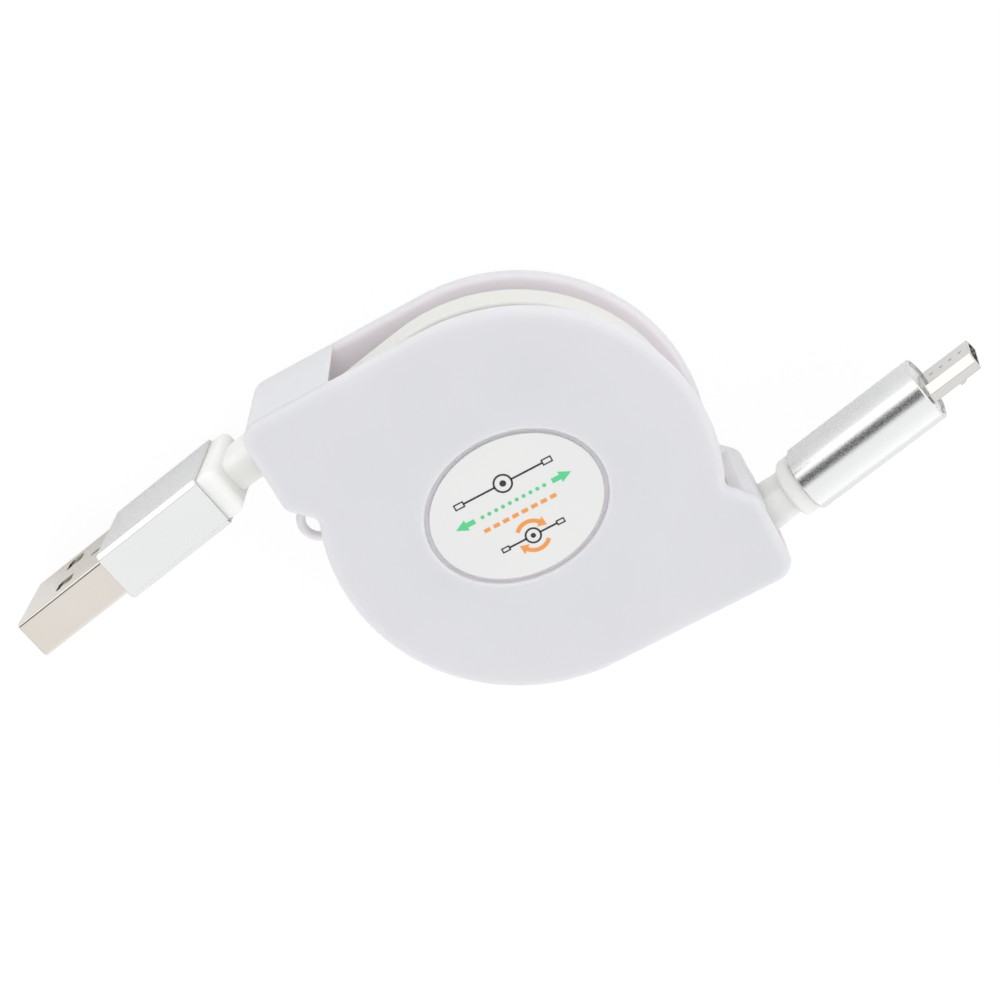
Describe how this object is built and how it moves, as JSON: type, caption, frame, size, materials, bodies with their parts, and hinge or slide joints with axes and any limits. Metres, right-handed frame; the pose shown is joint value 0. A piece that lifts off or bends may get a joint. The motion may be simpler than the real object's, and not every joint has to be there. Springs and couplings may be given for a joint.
{
  "type": "retractable charging cable",
  "caption": "Flat charging cable wound on a sprung spool in a round two-shell reel with squared arms, with a wide plug on one end and a small plug on the other, both drawn out together.",
  "frame": {"origin": "on the spool's axis, at the rear shell's flat outer face, on which the part rests", "axes": "+Z along the spool's axis from the rear shell to the front shell; +X along the arms' straight sides, towards the device plug; +Y towards the host plug's arm"},
  "size_m": [0.1015, 0.042, 0.0154],
  "materials": {
    "shell_plastic": "satin moulded",
    "label_film": "printed film",
    "screw_steel": "zinc",
    "spool_plastic": "moulded",
    "cable_jacket": "smooth elastomer",
    "spring_steel": "blued strip",
    "overmould_plastic": "smooth elastomer",
    "sleeve_aluminium": "fine blasted, anodised",
    "shield_nickel": "nickel plated",
    "tongue_plastic": "moulded",
    "contact_gold": "gold flash"
  },
  "bodies": {
    "housing": {"rear_shell": "shell_plastic", "front_shell": "shell_plastic", "label": "label_film", "centre_screw": "screw_steel"},
    "spool": {"spool": "spool_plastic", "spool_cover": "spool_plastic", "cable_coil": "cable_jacket", "power_spring": "spring_steel"},
    "pawl": {"ratchet_pawl": "spool_plastic"},
    "host_plug": {"host_cable_lead": "cable_jacket", "host_plug_overmould": "overmould_plastic", "host_plug_sleeve": "sleeve_aluminium", "host_plug_shield": "shield_nickel", "host_plug_tongue": "tongue_plastic", "host_plug_contacts": "contact_gold"},
    "device_plug": {"device_cable_lead": "cable_jacket", "device_plug_overmould": "overmould_plastic", "device_plug_sleeve": "sleeve_aluminium", "device_plug_shield": "shield_nickel", "device_plug_tongue": "tongue_plastic", "device_plug_contacts": "contact_gold", "device_plug_latches": "shield_nickel"}
  },
  "joints": [
    {"name": "spool_spin", "type": "hinge", "parent": "housing", "child": "spool", "pos_m": [0, 0, 0.0077], "axis": [0, 0, 1], "range_deg": [0, 1440], "stiffness_Nm_per_rad": 0.0004, "springref_deg": -687.55, "deforming": ["power_spring"]},
    {"name": "host_plug_slide", "type": "slide", "parent": "housing", "child": "host_plug", "axis": [-0.9848, -0.1736, 0], "range_m": [0, 0.393], "deforming": ["host_cable_lead"]},
    {"name": "device_plug_slide", "type": "slide", "parent": "housing", "child": "device_plug", "axis": [0.9806, 0.1959, 0], "range_m": [0, 0.393], "deforming": ["device_cable_lead"]},
    {"name": "pawl_swing", "type": "hinge", "parent": "housing", "child": "pawl", "pos_m": [0.0066, -0.01143, 0.0021], "axis": [0, 0, 1], "range_deg": [0, 12]}
  ],
  "couplings": [
    {"joint": "host_plug_slide", "follows": "spool_spin", "m_per_rad": 0.0156},
    {"joint": "device_plug_slide", "follows": "spool_spin", "m_per_rad": 0.0156}
  ]
}
